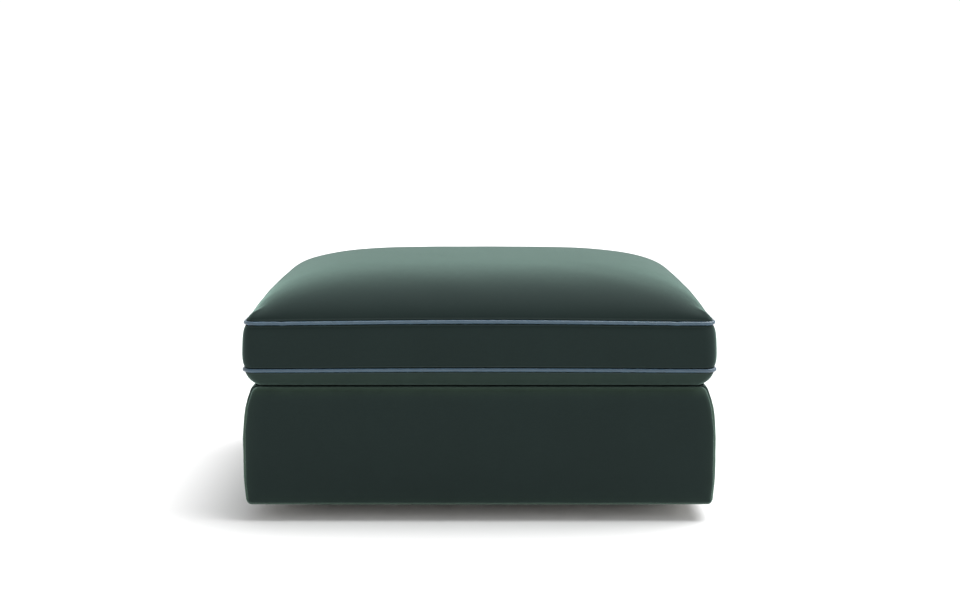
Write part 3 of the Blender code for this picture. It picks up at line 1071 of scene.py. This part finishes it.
@dataclass
class PaddedBase:
    """The base: a padded strip up one side, over the top and down the other, and a panel at each end."""

    velvet: bpy.types.Material

    half_x: float = 0.4745
    shoulder_lean: float = 0.0175  # how far the sides lean in towards the top
    shoulder_start: float = 0.130  # from this height on
    shoulder_power: float = 3.0
    shoulder_radius: float = 0.014
    shoulder_from: float = math.radians(18)  # angle above level at which its arc begins
    hem_lean: float = 0.0048  # how far they lean in towards the bottom
    hem_start: float = 0.090
    hem_power: float = 1.3
    hem_radius: float = 0.012
    side_crown: float = 0.003  # how far the padding stands out in the middle
    face_crown: float = 0.004

    seam_y: float = 0.391  # where the seams between strip and panels lie
    seam_setback: float = 0.028  # how far they run back towards the top
    setback_start: float = 0.225
    gap: float = 0.0003  # air between a panel and the strip
    wrap_roll: float = 0.012  # rounding of the strip beside its seams
    side_inset: float = 0.0060  # how far in from the sides, and from the top, the seams lie
    top_inset: float = 0.0010
    pinch: float = 0.0020  # how much further their thread draws the cloth in
    edge_share: float = 0.3  # of a panel's thickness that its straight edge takes up
    panel_side_roll: float = 0.009  # rounding of its face
    panel_top_roll: float = 0.020

    cells_x: int = 36
    cells_z: int = 14
    cells_y: int = 22
    corner_cells: int = 7
    wrap_roll_cells: int = 7
    panel_edge_cells: int = 3
    panel_roll_cells: int = 9
    inner_fining: float = 1.2  # how much finer the cells get towards the edges
    corner_fining: float = 1.3
    seam_fining: float = 1.4

    highlight_top: float = 1.0  # share of painted highlight at a panel's top edge, and how far down it reaches
    highlight_top_reach: float = 0.0048
    highlight_edge: float = 0.18  # the share of painted highlight at a panel's sides and bottom
    highlight_strip: float = 0.60  # the share of painted highlight along the strip's edges
    highlight_edge_reach: float = 0.010
    shade_depth: float = 0.0016  # how far down from the top the painted shade under the cushion reaches
    shade_fade: float = 0.001
    pull: SeamPull = SeamPull(
        spacing=0.016, depth=0.0004, reach=0.010, uneven=0.0003, uneven_size=0.13
    )
    strip_seed: int = 31
    panel_seed: int = 41
    side_band: float = 0.05  # past this much in from the sides a seam is taken to run along X
    still_share: float = 0.93  # of the half height, past which the padding is even

    def __post_init__(self) -> None:
        """Reads the base's heights and depth from its solids."""
        low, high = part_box("base_wrap")
        self.bottom, self.top = low.z, high.z
        self.half_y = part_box("base_back_panel")[1].y

    def side(self, height: Array) -> Array:
        """Half width of the padded sides.

        Args:
            height: heights above the floor.

        Returns:
            The half width at each.
        """
        shoulder = np.maximum((height - self.shoulder_start) / (self.top - self.shoulder_start), 0)
        hem = np.maximum((self.hem_start - height) / (self.hem_start - self.bottom), 0)
        return (
            self.half_x
            - self.shoulder_lean * shoulder**self.shoulder_power
            - self.hem_lean * hem**self.hem_power
        )

    def section(self, i: Array, k: Array, side_inset: Array, top_inset: Array) -> tuple[Array, Array]:
        """Places lines of cells in the base's section, drawn in by the insets.

        Args:
            i: lines of cells along X, counted from the middle.
            k: lines of cells up Z, counted from the bottom.
            side_inset: how far the section is drawn in at its sides and its bottom.
            top_inset: how far it is drawn in at the top.

        Returns:
            The places' x and z.
        """
        size = np.abs(i)
        across = np.maximum(size - self.cells_x, 0)
        inner = finer_outward(size, self.cells_x, self.inner_fining)
        below = np.maximum(self.corner_cells - k, 0)
        above = np.maximum(k - self.corner_cells - self.cells_z, 0)
        out = finer_outward(across, self.corner_cells, self.corner_fining)
        hem = self.hem_radius / (1 + side_inset / self.hem_radius)
        low_z = self.bottom + side_inset + hem
        low_x = self.side(low_z) - side_inset - hem
        radius = self.shoulder_radius / (1 + top_inset / self.shoulder_radius)
        high_z = self.top - top_inset - radius
        start_z = high_z + radius * math.sin(self.shoulder_from)
        high_x = self.side(start_z) - side_inset - radius * math.cos(self.shoulder_from)
        past_edge = np.maximum(below, above)
        reach = np.maximum(out, finer_outward(past_edge, self.corner_cells, self.corner_fining))
        turn_low = QUARTER * corner_turn(across, below)
        turn_high = mix(self.shoulder_from, QUARTER, corner_turn(across, above))
        past = across > 0
        up = (k - self.corner_cells) / self.cells_z
        edge_z = mix(low_z, start_z, up)
        where = [below > 0, above > 0]
        x = np.select(
            where,
            [
                low_x * inner + past * hem * reach * np.cos(turn_low),
                high_x * inner + past * radius * reach * np.cos(turn_high),
            ],
            mix(mix(low_x, high_x, up) * inner, self.side(edge_z) - side_inset, out),
        )
        z = np.select(
            where,
            [low_z - hem * reach * np.sin(turn_low), high_z + radius * reach * np.sin(turn_high)],
            mix(mix(low_z, high_z, up), edge_z, out),
        )
        return np.sign(i) * x, z

    def seam(self, k: Array, top_inset: float) -> Array:
        """How far out the seam between strip and panel lies.

        Args:
            k: lines of cells up Z, counted from the bottom.
            top_inset: how far the section is drawn in at the top.

        Returns:
            The seam's place along Y at each line.
        """
        _, height = self.section(np.zeros_like(k), k, np.zeros(len(k)), np.full(len(k), top_inset))
        back = smooth((height - self.setback_start) / (self.top - self.setback_start))
        return self.seam_y - self.seam_setback * back

    def height_share(self, height: Array) -> Array:
        """0 half way up the base, -1 at its bottom and 1 at its top."""
        return (2 * height - self.top - self.bottom) / (self.top - self.bottom)

    def painted_shade(self, height: Array) -> Array:
        """Share of painted shade under the cushion at a height."""
        return smooth((height - self.top + self.shade_depth) / self.shade_fade)

    def declare(self, piece: bpy.types.Object, node: str) -> bpy.types.Object:
        """Puts a padded piece in its solid's place.

        Args:
            piece: the piece.
            node: the solid's name.

        Returns:
            The piece.
        """
        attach(piece, "root")
        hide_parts(node)
        return piece

    def add_tucks(self, piece: bpy.types.Object, away: Array, seed: int) -> None:
        """Pulls small tucks into a piece beside its seam, and leaves its padding a little uneven.

        Args:
            piece: the strip or a panel.
            away: each point's distance from the seam.
            seed: the first of its two random fields.
        """
        points = points_of(piece.data)
        share = np.abs(self.height_share(points[:, 2]))
        near_side = np.abs(points[:, 0]) > self.half_x - self.side_band
        along = np.where(near_side, points[:, 2], points[:, 0])
        move = self.pull.tucks(along, away, seed) + self.pull.swells(points, seed + 1)
        move *= 1 - smooth((share - self.still_share) / (1 - self.still_share))
        set_points(piece.data, points + normals_of(piece.data) * move[:, None])

    def build_wrap(self) -> bpy.types.Object:
        """Builds the strip that runs up one side, over the top and down the other.

        Returns:
            The piece.
        """
        reach_x = self.cells_x + self.corner_cells
        reach_y = self.cells_y + self.wrap_roll_cells
        high = self.cells_z + 2 * self.corner_cells
        lattice, quads = lattice_shell((2 * reach_x, 2 * reach_y, high))
        i, j, k = (lattice - (reach_x, reach_y, 0)).T
        step = np.abs(j)
        angle = QUARTER * np.maximum(step - self.cells_y, 0) / self.wrap_roll_cells
        roll = 1 - np.cos(angle)
        top_inset = self.top_inset + self.pinch
        x, z = self.section(i, k, (self.side_inset + self.pinch) * roll, top_inset * roll)
        straight = self.seam(k, top_inset) - self.wrap_roll
        y = straight * finer_outward(step, self.cells_y, self.seam_fining)
        y = y + self.wrap_roll * np.sin(angle)
        fullness = (1 - (y / self.seam_y) ** 2) * (1 - self.height_share(z) ** 2)
        x = x * (1 + self.side_crown / self.half_x * fullness)
        points = np.column_stack([x, np.sign(j) * y, z])
        piece = new_piece("base_strip", points, quads, self.velvet)
        edge = self.seam_y - np.abs(points[:, 1])
        lined = (k == 0) & (np.abs(i) < self.cells_x) & (step <= self.cells_y)
        # painted highlight along the strip's edges, painted shade along its top under the cushion
        painted_highlight = self.highlight_strip * np.exp(-edge / self.highlight_edge_reach)
        keep(piece.data, CLOTH_PLACE, painted_highlight, self.painted_shade(z), lined)
        self.add_tucks(piece, edge, self.strip_seed)
        return self.declare(piece, "base_wrap")

    def build_panel(self, end: End) -> bpy.types.Object:
        """Builds the padded panel that closes one end.

        Args:
            end: which end it closes.

        Returns:
            The piece.
        """
        reach_x = self.cells_x + self.corner_cells
        thick = self.panel_edge_cells + self.panel_roll_cells
        high = self.cells_z + 2 * self.corner_cells
        lattice, quads = lattice_shell((2 * reach_x, thick, high))
        i, j, k = (lattice - (reach_x, 0, 0)).T
        step = j if end is End.BACK else thick - j
        edge = np.minimum(step / self.panel_edge_cells, 1.0)
        angle = QUARTER * np.maximum(step - self.panel_edge_cells, 0) / self.panel_roll_cells
        pinch = self.pinch * (1 - edge) ** 2
        roll = 1 - np.cos(angle)
        side_inset = self.side_inset + pinch + self.panel_side_roll * roll
        top_inset = self.top_inset + pinch + self.panel_top_roll * roll
        x, z = self.section(i, k, side_inset, top_inset)
        out = self.edge_share * edge + (1 - self.edge_share) * np.sin(angle)
        crown = (1 - (x / self.half_x) ** 2) * (1 - self.height_share(z) ** 2)
        face = self.half_y - self.face_crown * (1 - crown)
        y = mix(self.seam(k, self.top_inset + self.pinch) + self.gap, face, out)
        points = np.column_stack([x, end.value * y, z])
        name = end.name.lower()
        piece = new_piece(f"base_{name}_facing", points, quads, self.velvet)
        aside = self.side(z) - np.abs(x)
        rim = np.minimum(aside, z - self.bottom)
        # painted highlight along the panel's top edge and its rims, painted shade at its top
        painted_highlight = self.highlight_top * np.exp(-np.abs(self.top - z) / self.highlight_top_reach)
        painted_highlight = painted_highlight + self.highlight_edge * np.exp(-np.maximum(rim, 0) / self.highlight_edge_reach)
        keep(piece.data, CLOTH_PLACE, np.minimum(painted_highlight, 1.0), self.painted_shade(z))
        away = np.minimum(aside, self.top - z) - self.side_inset
        self.add_tucks(piece, away, self.panel_seed + end.value)
        return self.declare(piece, f"base_{name}_panel")


@dataclass
class Feet:
    """The four low moulded feet, well in under the base."""

    plastic: bpy.types.Material

    def dress(self) -> list[str]:
        """Gives each foot's solid its finish.

        Returns:
            The solids' names.
        """
        names = [name for name in sorted(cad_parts) if name.startswith("foot_")]
        for name in names:
            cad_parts[name].material_slots[0].material = self.plastic
        return names


# ---- Studio --------------------------------------------------------------------------------------


@dataclass
class Studio:
    """White paper, soft light from above, behind and the right, and the photograph's camera."""

    paper: bpy.types.Material
    floor_size: float = 40.0
    sky: float = 0.78
    backdrop: float = 1.05  # how bright the sky looks to the camera
    key_strength: float = 4.0
    key_spread: float = math.radians(50)
    key_right: float = math.radians(24)  # how far the light leans from straight above
    key_back: float = math.radians(11)
    key_height: float = 3.0
    camera_place: tuple[float, float, float] = (0.001, -3.254, 0.850)
    camera_pitch: float = math.radians(8.10)  # below the horizon
    camera_lens: float = 55.0
    camera_sensor: float = 36.0

    def add_floor(self) -> None:
        """Lays the paper that the footstool stands on."""
        half = self.floor_size / 2
        corners = np.array([(-half, -half, 0), (half, -half, 0), (half, half, 0), (-half, half, 0)])
        floor = new_piece("studio_floor", corners, np.array([[0, 1, 2, 3]]), self.paper)

    def add_sky(self) -> None:
        """Surrounds the stool with even, white light, and leaves its colours as they are worked out."""
        world = bpy.data.worlds.new("studio_sky")
        world.use_nodes = True
        nodes = world.node_tree.nodes
        rays = nodes.new("ShaderNodeLightPath")
        strength = nodes.new("ShaderNodeMapRange")
        strength.inputs["To Min"].default_value = self.sky
        strength.inputs["To Max"].default_value = self.backdrop
        sky = nodes["Background"]
        sky.inputs["Color"].default_value = (1.0, 1.0, 1.0, 1.0)
        links = world.node_tree.links
        links.new(rays.outputs["Is Camera Ray"], strength.inputs["Value"])
        links.new(strength.outputs["Result"], sky.inputs["Strength"])
        bpy.context.scene.world = world
        bpy.context.scene.view_settings.view_transform = "Standard"

    def add_key(self) -> None:
        """Hangs the wide main light, behind the stool and to its right."""
        lamp = bpy.data.lights.new("key_light", "SUN")
        lamp.energy = self.key_strength
        lamp.angle = self.key_spread
        key = bpy.data.objects.new("key_light", lamp)
        way = Vector((math.tan(self.key_right), math.tan(self.key_back), 1.0))
        key.location = way * self.key_height
        key.rotation_euler = (-way).to_track_quat("-Z", "Y").to_euler()
        bpy.context.scene.collection.objects.link(key)

    def add_camera(self) -> None:
        """Sets the camera at the photograph's height and angle."""
        lens = bpy.data.cameras.new("camera")
        lens.lens = self.camera_lens
        lens.sensor_width = self.camera_sensor
        camera = bpy.data.objects.new("camera", lens)
        camera.location = self.camera_place
        camera.rotation_euler = (QUARTER - self.camera_pitch, 0.0, 0.0)
        bpy.context.scene.collection.objects.link(camera)
        bpy.context.scene.camera = camera

    def build(self) -> None:
        """Sets up the whole studio."""
        self.add_floor()
        self.add_sky()
        self.add_key()
        self.add_camera()


def report(piece: bpy.types.Object) -> None:
    """Logs a piece's name and how many faces it has."""
    log.info("%s: %d faces", piece.name, len(piece.data.polygons))


def main() -> None:
    """Builds the footstool piece by piece, and then the studio round it."""
    logging.basicConfig(level=logging.INFO, format="%(name)s: %(message)s")
    velvet = Velvet().material()
    cushion = SeatCushion(velvet)
    report(cushion.build())
    piping = Piping(cushion, PipingCloth().material())
    for seam in Seam:
        report(piping.build(seam))
    base = PaddedBase(velvet)
    report(base.build_wrap())
    for end in End:
        report(base.build_panel(end))
    log.info("feet: %s", ", ".join(Feet(MouldedPlastic().material()).dress()))
    Studio(StudioPaper().material()).build()


if __name__ == "__main__":
    main()
